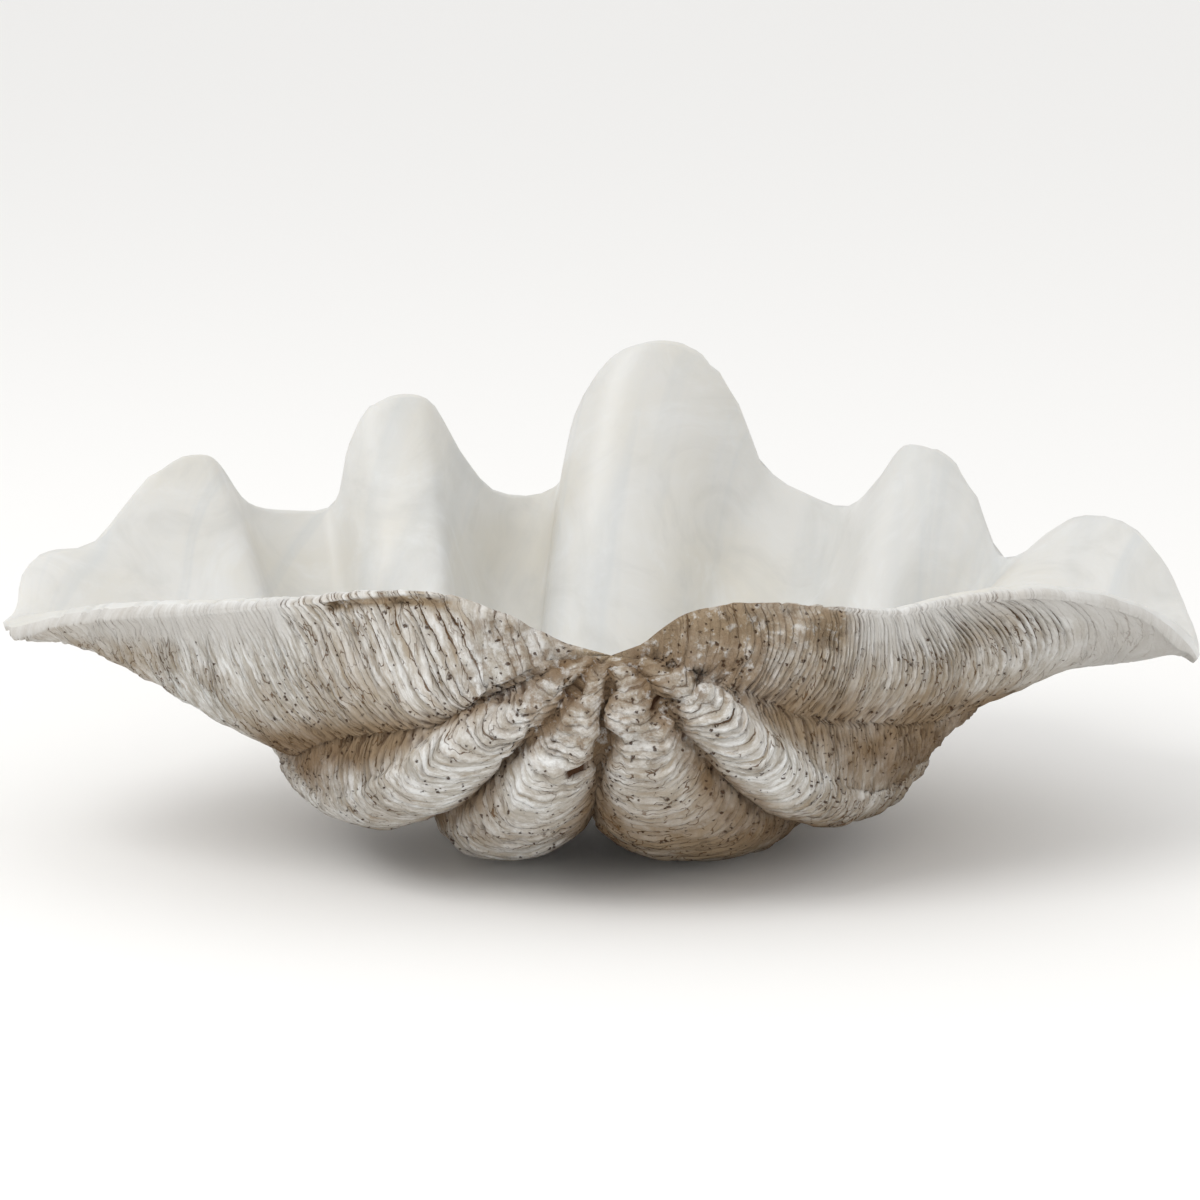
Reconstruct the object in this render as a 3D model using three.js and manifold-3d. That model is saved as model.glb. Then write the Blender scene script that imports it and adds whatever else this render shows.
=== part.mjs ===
// Giant clam half shell: one valve of a Tridacna, lying on its back as an open bowl.
//
// A shell only ever grows at its lip, and each new lip is the old one turned about the hinge and made larger.
// So the whole valve follows from two drawings: the lip as it is now, and the hinge margin it grows along.
// Every older lip is the present one turned back and shrunk on a logarithmic spiral towards the pole under the umbo.
// The inner face is that spiral surface itself; the outer face is laid outside it, with the folds ironed flatter
// and six rounded ribs raised between five narrow grooves.
//
// Millimetres, +Z up, hinge towards -Y, origin on the floor under the middle of the outline.
import * as THREE from 'three';
import { mergeVertices } from 'three/addons/utils/BufferGeometryUtils.js';
import Module from 'manifold-3d';

// ---------------------------------------------------------------- driving dimensions
const POLE = [6, -200, 151];            // the point every growth line shrinks to, under the umbo
const INNER_POLE = [6, -188, 148];      // where the bowl's floor runs out behind the notch
const TURN = 168 * Math.PI / 180;       // how far the youngest shell is rolled back from the lip
const GROWTH = 1.06;                    // spiral rate: size falls by exp(-GROWTH * turn)
const FAN = 0.8;                        // ribs spread sideways: half-width falls only as (1 - age)^FAN
const FLARE_TURN = 12 * Math.PI / 180;  // the lip flares outward over its last 12 degrees of growth
const LEAN = 0.12;                      // the belly leans away from the hinge, so the shell sits level
const BELLY = 12;                       // extra depth of the gutter inside each wing
const EDGE = 9;                         // wall thickness at the lip
const DEEP = 4;                         // extra wall away from the lip
const IRON = 0.78;                      // share of the fold height that the thick wall smooths away outside
const IRON_FOURTH = 0.22;               // and how much more of it under the fourth rib
const RIB_POWER = 3.2;                  // how square-shouldered a rib's cross-section is
const CREASE = 0.14;                    // narrow notch along each groove, as a share of the rib height
const TIP = 9;                          // extra wall under each blunt tip
const BEAD = 3.5;                       // roundness of the lip's edge
const CORE = [6, -60, 190];             // the wall is thickened away from this point in the bowl
const SEAT = 9.5;                       // the belly is worn flat at this height
const MIDDLE = [2.2, -12.8];            // middle of the outline, moved to the origin

// The lip, from the left tip round the far side to the right tip: x, y, z,
// share of the half-width taken by the outward flare, and sideways drift on the way to the pole.
const LIP = [
  [-338, -80, 143, 0.40, 0],    // left tip
  [-333, -60, 147, 0.40, 0],
  [-332, -30, 161, 0.39, 0],
  [-321, -8, 170, 0.36, 0],     // small fold
  [-297, 10, 170, 0.30, 0],
  [-280, 35, 186, 0.22, 0],
  [-260, 62, 206, 0.14, 0],     // first tongue
  [-233, 84, 210, 0.12, -4],
  [-213, 104, 177, 0.12, -12],
  [-190, 126, 166, 0.12, -20],  // end of the first rib
  [-164, 140, 169, 0.12, -20],
  [-154, 146, 207, 0.12, -14],
  [-138, 150, 230, 0.12, -8],   // second tongue
  [-106, 156, 233, 0.12, -10],
  [-86, 172, 196, 0.12, -20],
  [-66, 190, 167, 0.12, -26],
  [-42, 200, 163, 0.12, -34],   // end of the second rib
  [-22, 202, 177, 0.12, -30],
  [-13, 200, 221, 0.12, -32],
  [5, 196, 252, 0.12, -34],
  [30, 194, 263, 0.12, -34],    // tall middle tongue
  [57, 198, 256, 0.12, -34],
  [81, 202, 231, 0.12, -36],
  [103, 204, 181, 0.12, -38],
  [128, 200, 164, 0.12, -38],
  [155, 192, 158, 0.12, -36],   // end of the third rib
  [173, 178, 179, 0.12, -20],
  [188, 162, 203, 0.12, -12],   // fourth tongue
  [212, 150, 198, 0.12, -14],
  [230, 138, 174, 0.12, -20],
  [244, 118, 141, 0.12, -20],   // end of the fourth rib
  [262, 98, 151, 0.17, -20],
  [282, 74, 174, 0.24, -20],
  [306, 46, 178, 0.32, -18],    // fifth tongue
  [326, 16, 164, 0.42, -20],
  [337, -14, 144, 0.48, -12],
  [342, -50, 129, 0.50, -6],
  [340, -80, 124, 0.50, 0],     // right tip
];

// The hinge margin on each side, from the pole out to the tip.
const LEFT_MARGIN = [
  [6, -200, 151], [-12, -203, 155], [-45, -204, 171], [-82, -201, 183], [-120, -195, 184], [-165, -184, 179],
  [-212, -167, 174], [-262, -144, 168], [-303, -118, 158], [-327, -97, 150], [-338, -80, 143],
];
const RIGHT_MARGIN = [
  [6, -200, 151], [14, -203, 152], [40, -205, 171], [62, -204, 177], [105, -198, 177], [150, -188, 173],
  [190, -175, 179], [235, -155, 180], [280, -130, 170], [312, -109, 155], [331, -93, 140], [340, -80, 124],
];

// The grooves: their places along the lip at six ages, evenly spaced from the lip to the pole.
// They wander because the outer ribs drift towards the middle as the fan narrows.
const GROOVES = [
  [-4.5, -4.5, -4.5, -4.5, -4.5, -4.5],
  [7.0, 6.2, 5.0, 5.8, 8.9, 10.0],
  [12.4, 12.4, 12.2, 13.5, 15.5, 16.5],
  [20.4, 20.4, 20.4, 20.6, 20.7, 20.4],
  [27.8, 27.8, 27.7, 26.4, 25.2, 24.5],
  [34.6, 34.6, 34.2, 33.7, 33.2, 31.5],
  [40, 40, 40, 40, 40, 40],
];

// The rib between each pair of grooves: height, and the turn over which it rises from the plain edge of the lip.
// The first and last rib are the wings.
const RIBS = [
  { height: 4, rise: 9, columns: 13 },
  { height: 20, rise: 35, columns: 14 },
  { height: 26, rise: 35, columns: 16 },
  { height: 24, rise: 35, columns: 16 },
  { height: 18, rise: 35, columns: 14 },
  { height: 0, rise: 12, columns: 7 },
];
const ROWS = 21;                        // growth lines from the lip to the pole

// ---------------------------------------------------------------- small helpers
const vec = (a) => new THREE.Vector3(a[0], a[1], a[2]);
const clamp = (x, lo, hi) => Math.min(hi, Math.max(lo, x));
const smooth = (x) => THREE.MathUtils.smoothstep(x, 0, 1);
const last = LIP.length - 1;

// A smooth curve through a table of points, read at a place counted in points (Catmull-Rom).
function through(points, place) {
  const n = points.length;
  const s = clamp(place, 0, n - 1 - 1e-9);
  const i = Math.floor(s);
  const f = s - i;
  const row = (k) => (k < 0 ? points[0].map((v, j) => 2 * v - points[1][j])
    : k > n - 1 ? points[n - 1].map((v, j) => 2 * v - points[n - 2][j]) : points[k]);
  const [a, b, c, d] = [row(i - 1), row(i), row(i + 1), row(i + 2)];
  return b.map((_, j) => 0.5 * (2 * b[j] + (c[j] - a[j]) * f + (2 * a[j] - 5 * b[j] + 4 * c[j] - d[j]) * f * f
    + (3 * b[j] - a[j] - 3 * c[j] + d[j]) * f * f * f));
}

// The lip with its folds smoothed away: a bell-shaped average over the neighbouring points, ends continued straight.
function ironed(table) {
  const reach = 14;
  const row = (k) => (k < 0 ? table[0].map((v, j) => 2 * v - table[-k][j])
    : k > last ? table[last].map((v, j) => 2 * v - table[2 * last - k][j]) : table[k]);
  return table.map((_, i) => {
    const sum = table[0].map(() => 0);
    let total = 0;
    for (let k = -reach; k <= reach; k++) {
      const weight = Math.exp(-((k / 4.5) ** 2));
      total += weight;
      row(i + k).forEach((v, j) => { sum[j] += weight * v; });
    }
    return sum.map((v) => v / total);
  });
}
const SMOOTH_LIP = ironed(LIP);

// ---------------------------------------------------------------- growth
// Share of the half-width left at an age (0 at the lip, 1 at the pole).
const spread = (age, flare) => (1 - age) ** FAN * ((1 - flare) + flare * Math.exp(-TURN * age / FLARE_TURN));

// Where a point of the lip lay at an earlier age.
function spiral(lip, age) {
  const turn = TURN * age;
  const size = Math.exp(-GROWTH * turn) * (1 - age ** 6);
  const [dx, dy, dz] = [lip[0] - POLE[0], lip[1] - POLE[1], lip[2] - POLE[2]];
  const drift = lip[4] * Math.sin(Math.PI * clamp(age, 0, 1) ** 0.6);
  const z = POLE[2] + size * (dz * Math.cos(turn) - dy * Math.sin(turn));
  const y = POLE[1] + size * (dy * Math.cos(turn) + dz * Math.sin(turn)) + LEAN * (POLE[2] - z);
  return new THREE.Vector3(POLE[0] + spread(age, lip[3]) * dx + drift, y, z);
}

// A point of a margin, at a share of its length from the pole.
function along(points, share) {
  const lengths = [0];
  for (let i = 1; i < points.length; i++) lengths.push(lengths[i - 1] + vec(points[i]).distanceTo(vec(points[i - 1])));
  const reach = clamp(share, 0, 1) * lengths[points.length - 1];
  let i = 0;
  while (i < points.length - 2 && lengths[i + 1] < reach) i++;
  return vec(through(points, i + (reach - lengths[i]) / (lengths[i + 1] - lengths[i])));
}

const WINGS = [
  { margin: LEFT_MARGIN, end: 0, width: 6.5 },
  { margin: RIGHT_MARGIN, end: last, width: 4.3 },
];
const MARGIN_FLARE = 0.06;

// The spiral surface, with both wings drawn up to meet the hinge margin. `iron` flattens the folds.
function base(place, age, iron = 0) {
  const mixed = (k) => {
    const [folded, flat] = [through(LIP, k), through(SMOOTH_LIP, k)];
    return folded.map((v, j) => v + iron * (flat[j] - v));
  };
  const p = spiral(mixed(place), age);
  for (const { margin, end, width } of WINGS) {
    const across = clamp(Math.abs(place - end) / width, 0, 1);
    const lift = along(margin, spread(age, MARGIN_FLARE)).sub(spiral(mixed(end), age));
    p.addScaledVector(lift, 1 - smooth(across));
    p.z -= BELLY * Math.sin(Math.PI * across) * smooth(age / 0.06) * (1 - smooth(age / 0.5));
  }
  return p;
}

// Outward normal of the spiral surface, from two short steps along it.
function normal(place, age, iron) {
  const a = base(clamp(place + 0.005, 0, last), age, iron).sub(base(clamp(place - 0.005, 0, last), age, iron));
  const b = base(place, clamp(age + 0.001, 0, 1), iron).sub(base(place, clamp(age - 0.001, 0, 1), iron));
  return a.cross(b).normalize();
}

// Where a groove crosses a growth line.
const groove = (k, age) => through(GROOVES[k].map((place) => [place]), age * 5)[0];

// Height of the ribs above the grooves: rounded humps that meet in narrow creases.
function ribs(place, age) {
  let k = 0;
  while (k < RIBS.length - 1 && place >= groove(k + 1, age)) k++;
  const [from, to] = [groove(k, age), groove(k + 1, age)];
  const s = Math.abs(2 * (place - from) / (to - from) - 1);
  const turn = TURN * age;
  const full = 35 * Math.PI / 180;
  const swell = smooth(turn / (RIBS[k].rise * Math.PI / 180))
    * Math.exp(-0.5 * GROWTH * Math.max(turn - full, 0)) * smooth((1 - age) / 0.25);
  return RIBS[k].height * (1 - s ** RIB_POWER - CREASE * Math.exp(-(((1 - s) / 0.08) ** 2))) * swell;
}

function outer(place, age) {
  if (age >= 1) return vec(POLE);
  const more = IRON_FOURTH * Math.exp(-(((place - 30) / 2.5) ** 2));
  const iron = (IRON + more) * smooth(age / 0.35);
  const p = base(place, age, iron);
  const away = p.clone().sub(vec(CORE)).multiply(new THREE.Vector3(0.45, 1, 1)).normalize();
  const end = smooth((1 - age) / 0.2);
  p.z -= TIP * Math.exp(-((Math.min(place, last - place) / 2.6) ** 2)) * (1 - smooth(age / 0.15));
  return p.addScaledVector(normal(place, age, iron), EDGE * end)
    .addScaledVector(away, DEEP * smooth(age / 0.25) * end + ribs(place, age));
}

// The bowl: the spiral surface near the lip, running straight down a chute to the notch instead of curling under.
function inner(place, age) {
  const start = 0.55;
  const pole = vec(INNER_POLE);
  const left = clamp((1 - age) / (1 - start), 0, 1);
  const chute = (k) => base(k, start).sub(pole).multiplyScalar(left).add(pole);
  const p = chute(place);
  for (const { margin, end } of WINGS) {
    const edge = along(margin, spread(age, MARGIN_FLARE)).add(pole).sub(vec(POLE));
    p.addScaledVector(edge.sub(chute(end)), 1 - smooth(Math.abs(place - end) / 5));
  }
  return base(place, age).lerp(p, smooth((age - start) / 0.25));
}

// ---------------------------------------------------------------- the closed skin
// Columns belong to a rib, follow it to the pole and crowd towards its grooves, where the wall bends most.
// Rows crowd towards the lip.
const columns = [{ rib: 0, share: 0 }];
RIBS.forEach(({ columns: n }, rib) => {
  for (let i = 1; i <= n; i++) columns.push({ rib, share: i / n - 0.11 * Math.sin(2 * Math.PI * i / n) });
});
function placeOf({ rib, share }, age) {
  const [from, to] = [Math.max(0, groove(rib, age)), Math.min(last, groove(rib + 1, age))];
  return from + (to - from) * share;
}
const rows = Array.from({ length: ROWS + 1 }, (_, j) => (j / ROWS) ** 1.4);

const points = [];
const faces = [];
const add = (p) => points.push(p.x, p.y, p.z) / 3 - 1;

function face(surface, flip) {
  const pole = add(surface(0, 1));
  const grid = columns.map((c) => rows.map((age, j) => (
    j === ROWS ? pole : add(surface(placeOf(c, flip ? 0 : age), age)))));
  for (let i = 0; i < columns.length - 1; i++) {
    for (let j = 0; j < ROWS; j++) {
      const [a, b, c, d] = [grid[i][j], grid[i + 1][j], grid[i + 1][j + 1], grid[i][j + 1]];
      const pair = c === d ? [[a, b, c]] : [[a, b, c], [a, c, d]];
      pair.forEach((t) => faces.push(...(flip ? t.reverse() : t)));
    }
  }
  // the rim of this face, once round: up the left margin, along the lip, back down the right margin
  return [...grid[0].slice().reverse(), ...grid.slice(1).map((g) => g[0]), ...grid[columns.length - 1].slice(1, -1)];
}
const outerRim = face(outer, false);
const innerRim = face(inner, true);

// The edge between the two faces is a low bead, pushed out a little past both.
const places = [
  ...rows.map((age) => [0, age]).reverse(), ...columns.slice(1).map((c) => [placeOf(c, 0), 0]),
  ...rows.slice(1, -1).map((age) => [last, age]),
];
const bead = places.map(([place, age], i) => {
  const at = (k) => new THREE.Vector3().fromArray(points, 3 * k);
  const middle = at(outerRim[i]).lerp(at(innerRim[i]), 0.5);
  if (age >= 1) return add(middle);
  const inside = base(clamp(place, age > 0 || place === 0 ? 0.3 : 0, last - (age > 0 || place === last ? 0.3 : 0)),
    age === 0 ? 0.01 : age);
  const out = base(place, age).sub(inside).normalize();
  return add(middle.addScaledVector(out, BEAD * smooth((1 - age) / 0.2)));
});
for (const [near, far] of [[outerRim, bead], [bead, innerRim]]) {
  near.forEach((a, i) => {
    const n = (i + 1) % near.length;
    faces.push(far[n], near[n], a, far[i], far[n], a);
  });
}

const skin = new THREE.BufferGeometry();
skin.setAttribute('position', new THREE.Float32BufferAttribute(points, 3));
skin.setIndex(faces);
skin.translate(-MIDDLE[0], -MIDDLE[1], -SEAT);

// ---------------------------------------------------------------- the worn seat
// The lowest ribs are rubbed flat where the shell stands.
const wasm = await Module();
wasm.setup();
function solid(geometry) {
  const plain = geometry.clone();
  plain.deleteAttribute('normal');
  plain.deleteAttribute('uv');
  const merged = mergeVertices(plain);
  return new wasm.Manifold(new wasm.Mesh({
    numProp: 3,
    vertProperties: new Float32Array(merged.attributes.position.array),
    triVerts: new Uint32Array(merged.index.array),
  }));
}
const ground = new THREE.BoxGeometry(900, 700, 100).translate(0, 0, -50);
const worn = solid(skin).subtract(solid(ground)).getMesh();

const geometry = new THREE.BufferGeometry();
geometry.setAttribute('position', new THREE.Float32BufferAttribute(worn.vertProperties, 3));
geometry.setIndex([...worn.triVerts]);
geometry.computeVertexNormals();

const shell = new THREE.Mesh(geometry, new THREE.MeshStandardMaterial({ color: 0xd6d0c4, roughness: 0.62, metalness: 0 }));
shell.name = 'shell';

const clam = new THREE.Group();
clam.name = 'giant_clam_half_shell';
clam.add(shell);
export default clam;
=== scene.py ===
# %% [markdown]
# # Giant clam half shell
# One valve of a Tridacna lies on its back like a bowl: smooth and white inside, ribbed, layered and stained
# outside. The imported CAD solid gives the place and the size. It is a few thousand flat facets, which is
# enough for physics but not for the eye, so here the same growth formulas are worked out again on a far
# finer grid, and the outer face gets its growth layers, pits and crust as real relief before any material
# is made.

import bpy
import numpy as np
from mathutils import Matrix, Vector


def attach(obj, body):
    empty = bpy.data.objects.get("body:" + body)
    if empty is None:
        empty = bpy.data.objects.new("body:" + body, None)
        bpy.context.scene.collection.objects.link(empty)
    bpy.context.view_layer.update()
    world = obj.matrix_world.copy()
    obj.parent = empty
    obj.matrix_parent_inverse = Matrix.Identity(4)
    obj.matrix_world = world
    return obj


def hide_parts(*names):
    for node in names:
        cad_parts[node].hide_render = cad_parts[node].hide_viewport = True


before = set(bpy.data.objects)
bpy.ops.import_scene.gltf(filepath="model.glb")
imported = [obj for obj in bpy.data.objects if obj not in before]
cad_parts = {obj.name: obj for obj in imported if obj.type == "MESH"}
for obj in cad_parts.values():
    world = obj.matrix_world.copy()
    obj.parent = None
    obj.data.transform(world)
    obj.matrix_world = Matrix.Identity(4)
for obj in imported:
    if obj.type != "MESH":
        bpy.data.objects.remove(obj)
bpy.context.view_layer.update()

# %% [markdown]
# ## The growth rule
# A shell only grows at its lip. Every older lip is the present one turned about the hinge and made smaller,
# so a point of the shell has two coordinates: its place along the lip, and its age, 0 at the lip and 1 at
# the pole under the umbo. The numbers below are the driving dimensions of the CAD part, in millimetres.

# %% Driving dimensions
POLE = np.array([6.0, -200.0, 151.0])        # where the outer face closes, under the umbo
INNER_POLE = np.array([6.0, -188.0, 148.0])  # where the inner face closes, at the notch
TURN = np.radians(168)                       # how far the youngest shell is rolled back from the lip
GROWTH = 1.06                                # spiral rate
FAN = 0.8                                    # sideways spread of the ribs
FLARE_TURN = np.radians(12)                  # the lip flares over its last degrees of growth
LEAN, BELLY = 0.12, 12.0                     # forward lean of the spiral; sag of the wings in mm
IRON, IRON_FOURTH = 0.78, 0.22               # how far the outer face is ironed, and more on rib four
EDGE, DEEP, TIP, BEAD = 9.0, 4.0, 9.0, 3.5   # mm of wall at the edge, more inside, more at a tip; bead
RIB_POWER, CREASE = 3.2, 0.14                # squareness of a rib's section; depth of the crease beside it
CORE = np.array([6.0, -60.0, 190.0])         # the ribs swell away from this point
SEAT = 9.5                                   # height at which the lowest ribs are worn flat
MIDDLE = np.array([2.2, -12.8])              # the place that the part's frame puts over its origin

# the lip from the left tip to the right tip: x, y, z, share of outward flare, sideways drift to the pole
LIP = np.array([
    (-338, -80, 143, 0.40, 0), (-333, -60, 147, 0.40, 0), (-332, -30, 161, 0.39, 0),
    (-321, -8, 170, 0.36, 0), (-297, 10, 170, 0.30, 0), (-280, 35, 186, 0.22, 0),
    (-260, 62, 206, 0.14, 0), (-233, 84, 210, 0.12, -4), (-213, 104, 177, 0.12, -12),
    (-190, 126, 166, 0.12, -20), (-164, 140, 169, 0.12, -20), (-154, 146, 207, 0.12, -14),
    (-138, 150, 230, 0.12, -8), (-106, 156, 233, 0.12, -10), (-86, 172, 196, 0.12, -20),
    (-66, 190, 167, 0.12, -26), (-42, 200, 163, 0.12, -34), (-22, 202, 177, 0.12, -30),
    (-13, 200, 221, 0.12, -32), (5, 196, 252, 0.12, -34), (30, 194, 263, 0.12, -34),
    (57, 198, 256, 0.12, -34), (81, 202, 231, 0.12, -36), (103, 204, 181, 0.12, -38),
    (128, 200, 164, 0.12, -38), (155, 192, 158, 0.12, -36), (173, 178, 179, 0.12, -20),
    (188, 162, 203, 0.12, -12), (212, 150, 198, 0.12, -14), (230, 138, 174, 0.12, -20),
    (244, 118, 141, 0.12, -20), (262, 98, 151, 0.17, -20), (282, 74, 174, 0.24, -20),
    (306, 46, 178, 0.32, -18), (326, 16, 164, 0.42, -20), (337, -14, 144, 0.48, -12),
    (342, -50, 129, 0.50, -6), (340, -80, 124, 0.50, 0)], float)
# the hinge margins from the pole out to each tip
LEFT_MARGIN = np.array([
    (6, -200, 151), (-12, -203, 155), (-45, -204, 171), (-82, -201, 183), (-120, -195, 184),
    (-165, -184, 179), (-212, -167, 174), (-262, -144, 168), (-303, -118, 158), (-327, -97, 150),
    (-338, -80, 143)], float)
RIGHT_MARGIN = np.array([
    (6, -200, 151), (14, -203, 152), (40, -205, 171), (62, -204, 177), (105, -198, 177), (150, -188, 173),
    (190, -175, 179), (235, -155, 180), (280, -130, 170), (312, -109, 155), (331, -93, 140),
    (340, -80, 124)], float)
LAST = len(LIP) - 1
MARGIN_FLARE = 0.06  # flare of the hinge margins
WINGS = ((LEFT_MARGIN, 0, 6.5), (RIGHT_MARGIN, LAST, 4.3))  # margin, end of the lip, width of the wing
# the grooves: their places along the lip at six ages, evenly spaced from the lip to the pole;
# the first and the last stand outside the tips, so that the wings count as ribs too
GROOVES = np.array([
    (-4.5, -4.5, -4.5, -4.5, -4.5, -4.5), (7.0, 6.2, 5.0, 5.8, 8.9, 10.0),
    (12.4, 12.4, 12.2, 13.5, 15.5, 16.5), (20.4, 20.4, 20.4, 20.6, 20.7, 20.4),
    (27.8, 27.8, 27.7, 26.4, 25.2, 24.5), (34.6, 34.6, 34.2, 33.7, 33.2, 31.5),
    (40, 40, 40, 40, 40, 40)], float)
RIB_HEIGHT = np.array([4.0, 20.0, 26.0, 24.0, 18.0, 0.0])   # mm
RIB_RISE = np.radians([9.0, 35.0, 35.0, 35.0, 35.0, 12.0])  # turn over which each rib swells up
print("lip of", len(LIP), "points,", len(RIB_HEIGHT), "ribs")

# %% [markdown]
# ## Small tools
# Two curves do most of the drawing: an S-shaped step, and a smooth line through a table of points. Both
# work on whole arrays, so every face of the shell is a handful of array sums with no loop over its points.


# %% Curves
def smooth(x):
    """S-shaped step from 0 to 1: three x squared less two x cubed."""
    x = np.clip(x, 0, 1)
    return x * x * (3 - 2 * x)


def rise(x, start, width):
    """0 up to the start, then an S-shaped step up to 1 over the width."""
    return smooth((x - start) / width)


def fall(x, start, width):
    """1 up to the start, then an S-shaped step down to 0 over the width."""
    return 1 - rise(x, start, width)


def through(table, place):
    """Catmull-Rom curve: between two rows, a cubic whose slope at each row is half the step between its
    neighbours."""
    table = np.vstack([2 * table[0] - table[1], table, 2 * table[-1] - table[-2]])
    place = np.clip(place, 0, len(table) - 3 - 1e-9)
    i = np.floor(place).astype(int)
    f = (place - i)[..., None]
    a, b, c, d = (table[i + k] for k in range(4))
    return 0.5 * (2 * b + (c - a) * f + (2 * a - 5 * b + 4 * c - d) * f**2 + (3 * b - a - 3 * c + d) * f**3)


def length_to(points):
    """Length of a line up to each of its points: the running sum of the steps between them."""
    return np.r_[0, np.cumsum(np.linalg.norm(np.diff(points, axis=0), axis=1))]


def along(points, share):
    """Point of a margin at a share of its length, counted along the straight steps between its points."""
    steps = length_to(points)
    return through(points, np.interp(share, steps / steps[-1], np.arange(len(points))))


def ironed(table):
    """The lip with its folds smoothed away: a bell-shaped average over neighbours, the ends continued
    straight."""
    reach, wide = 14, 4.5
    weight = np.exp(-((np.arange(-reach, reach + 1) / wide) ** 2))
    before, after = 2 * table[0] - table[reach:0:-1], 2 * table[-1] - table[-2:-reach - 2:-1]
    longer = np.vstack([before, table, after])
    return np.stack([np.convolve(column, weight / weight.sum(), "valid") for column in longer.T], 1)


SMOOTH_LIP = ironed(LIP)
print("folded lip", np.ptp(LIP[:, 2]), "mm high, ironed lip", np.ptp(SMOOTH_LIP[:, 2]).round(1), "mm high")

# %% [markdown]
# ## The two faces
# `base` is the spiral surface itself. Its middle follows the logarithmic spiral, and both wings are drawn
# up to the hinge margin. The inner face is this surface, run down a chute to the notch. The outer face lies
# a wall's thickness outside it, its folds ironed flatter, with six round ribs that meet in narrow creases.


# %% Growth surface
def spread(age, flare):
    """Share of the half-width left at an age: a narrowing fan times a flare that soon dies away."""
    return (1 - age) ** FAN * ((1 - flare) + flare * np.exp(-TURN * age / FLARE_TURN))


def spiral(lip, age):
    """The lip point turned back by its age and shrunk by exp(-growth x turn), leaning and drifting a little;
    the sixth power of the age closes the spiral at the pole."""
    turn = TURN * age
    size = np.exp(-GROWTH * turn) * (1 - age**6)
    dx, dy, dz = (lip[..., k] - POLE[k] for k in range(3))
    z = POLE[2] + size * (dz * np.cos(turn) - dy * np.sin(turn))
    y = POLE[1] + size * (dy * np.cos(turn) + dz * np.sin(turn)) + LEAN * (POLE[2] - z)
    x = POLE[0] + spread(age, lip[..., 3]) * dx + lip[..., 4] * np.sin(np.pi * np.clip(age, 0, 1) ** 0.6)
    return np.stack([x, y, z], -1)


def base(place, age, iron=0.0):
    """Spiral surface; each wing is lifted by the gap between its margin and the spiral's own end, fading
    inwards, and sags by the belly in its middle."""
    iron = np.broadcast_to(iron, np.shape(place))[..., None]
    lip = through(LIP, place) * (1 - iron) + through(SMOOTH_LIP, place) * iron
    p = spiral(lip, age)
    for margin, end, width in WINGS:
        across = np.clip(np.abs(place - end) / width, 0, 1)
        own_end = LIP[end] * (1 - iron) + SMOOTH_LIP[end] * iron
        lift = along(margin, spread(age, MARGIN_FLARE)) - spiral(own_end, age)
        p = p + lift * (1 - smooth(across))[..., None]
        p[..., 2] -= BELLY * np.sin(np.pi * across) * rise(age, 0, 0.06) * fall(age, 0, 0.5)
    return p


def unit(v):
    """Arrows of length one."""
    return v / np.maximum(np.linalg.norm(v, axis=-1, keepdims=True), 1e-9)


GROOVE_STEPS = 400
GROOVE_PATH = through(GROOVES.T, np.linspace(0, GROOVES.shape[1] - 1, GROOVE_STEPS + 1))


def groove(k, age):
    """Place of a groove at an age, read along the straight line between two points of its smooth curve."""
    step = np.clip(np.asarray(age, float) * GROOVE_STEPS, 0, GROOVE_STEPS - 0.001)
    i = step.astype(int)
    return GROOVE_PATH[i, k] + (step - i) * (GROOVE_PATH[i + 1, k] - GROOVE_PATH[i, k])


def rib_of(place, age):
    """Which rib a place is on, and how far across it: -1 and 1 in the grooves, 0 on the crest."""
    k = sum((place >= groove(i, age)).astype(int) for i in range(1, len(RIB_HEIGHT)))
    low, high = groove(k, age), groove(k + 1, age)
    return k, 2 * (place - low) / (high - low) - 1


def place_of(rib, share, age):
    """Place along the lip of a column that keeps to a share of its rib's width."""
    low, high = np.maximum(groove(rib, age), 0), np.minimum(groove(rib + 1, age), LAST)
    return low + (high - low) * share


# %% Outer face
FOURTH_RIB = 30                      # its place along the lip
RIB_FADE = np.radians(35)            # turn past which the ribs grow lower towards the umbo
PLACE_STEP, AGE_STEP = 0.005, 0.001  # small steps, to measure slopes


def outer(place, age):
    """Spiral surface + normal x edge thickness + smooth outward arrow x (extra wall + rib humps)."""
    place, age = np.broadcast_arrays(np.asarray(place, float), np.asarray(age, float))
    iron = (IRON + IRON_FOURTH * np.exp(-(((place - FOURTH_RIB) / 2.5) ** 2))) * rise(age, 0, 0.35)
    p = base(place, age, iron)
    low_place, high_place = np.clip(place - PLACE_STEP, 0, LAST), np.clip(place + PLACE_STEP, 0, LAST)
    low_age, high_age = np.clip(age - AGE_STEP, 0, 1), np.clip(age + AGE_STEP, 0, 1)
    step_place = base(high_place, age, iron) - base(low_place, age, iron)
    step_age = base(place, high_age, iron) - base(place, low_age, iron)
    k, across = rib_of(place, age)
    turn = TURN * age
    swell = smooth(turn / RIB_RISE[k]) * np.exp(-0.5 * GROWTH * np.maximum(turn - RIB_FADE, 0))
    hump = 1 - np.abs(across) ** RIB_POWER - CREASE * np.exp(-(((1 - np.abs(across)) / 0.08) ** 2))
    rib = RIB_HEIGHT[k] * hump * swell * rise(1 - age, 0, 0.25)
    end = rise(1 - age, 0, 0.2)
    away = unit((p - CORE) * (0.45, 1, 1))
    tip = np.exp(-((np.minimum(place, LAST - place) / 2.6) ** 2))
    p[..., 2] -= TIP * tip * fall(age, 0, 0.15)
    wall = unit(np.cross(step_place, step_age)) * (EDGE * end)[..., None]
    return p + wall + away * (DEEP * rise(age, 0, 0.25) * end + rib)[..., None]


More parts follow.
